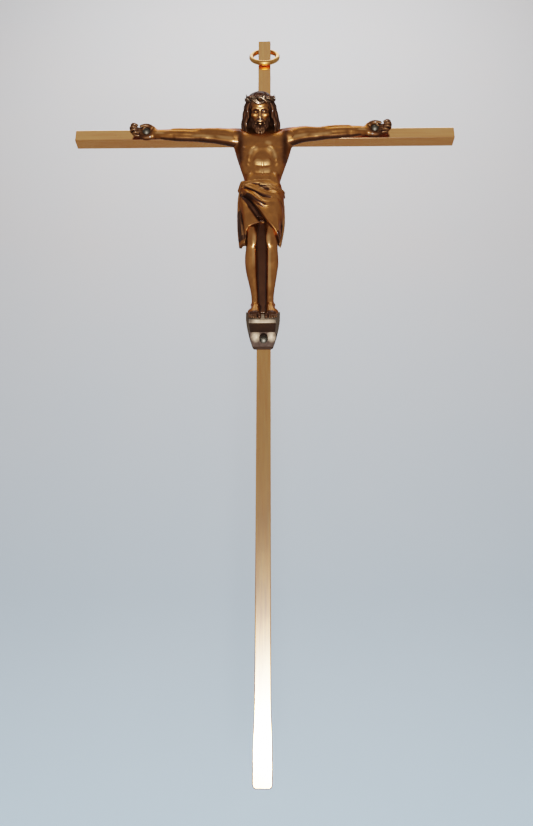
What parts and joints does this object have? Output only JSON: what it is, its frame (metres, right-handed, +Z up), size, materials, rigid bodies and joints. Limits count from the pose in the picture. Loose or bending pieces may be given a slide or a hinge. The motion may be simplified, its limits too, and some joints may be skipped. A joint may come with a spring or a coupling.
{
  "type": "processional cross",
  "caption": "Square-bar brass cross with a long shaft, a cast bronze crucified figure standing on a wedge footrest, and a swinging ring through the top.",
  "frame": {"origin": "centre of the foot end face of the upright", "axes": "+Z up the shaft, -Y to the front where the figure is, +X to the viewer's right"},
  "size_m": [0.38, 0.0584, 0.715],
  "materials": {
    "bar_brass": "satin, brushed along the bar",
    "ring_brass": "polished",
    "corpus_bronze": "antique brown patina with rubbed golden highlights",
    "crown_bronze": "dark patina with rubbed edges",
    "footrest_metal": "pale polished casting, dark in its recesses",
    "screw_dark": "blackened",
    "screw_brass": "satin"
  },
  "bodies": {
    "cross": {"upright": "bar_brass", "crossbar": "bar_brass", "corpus_body": "corpus_bronze", "corpus_arm_left": "corpus_bronze", "corpus_arm_right": "corpus_bronze", "crown_of_thorns": "crown_bronze", "footrest": "footrest_metal", "footrest_screw": "screw_dark", "palm_screw_left": "screw_dark", "palm_screw_right": "screw_dark", "lap_joint_screws": "screw_brass", "corpus_back_screw": "screw_brass", "foot_pins": "screw_brass"},
    "ring": {"hanging_ring": "ring_brass"}
  },
  "joints": [
    {"name": "ring_swing", "type": "hinge", "parent": "cross", "child": "ring", "pos_m": [0, 0, 0.7073], "axis": [-1, 0, 0], "range_deg": [0, 318.6]}
  ]
}
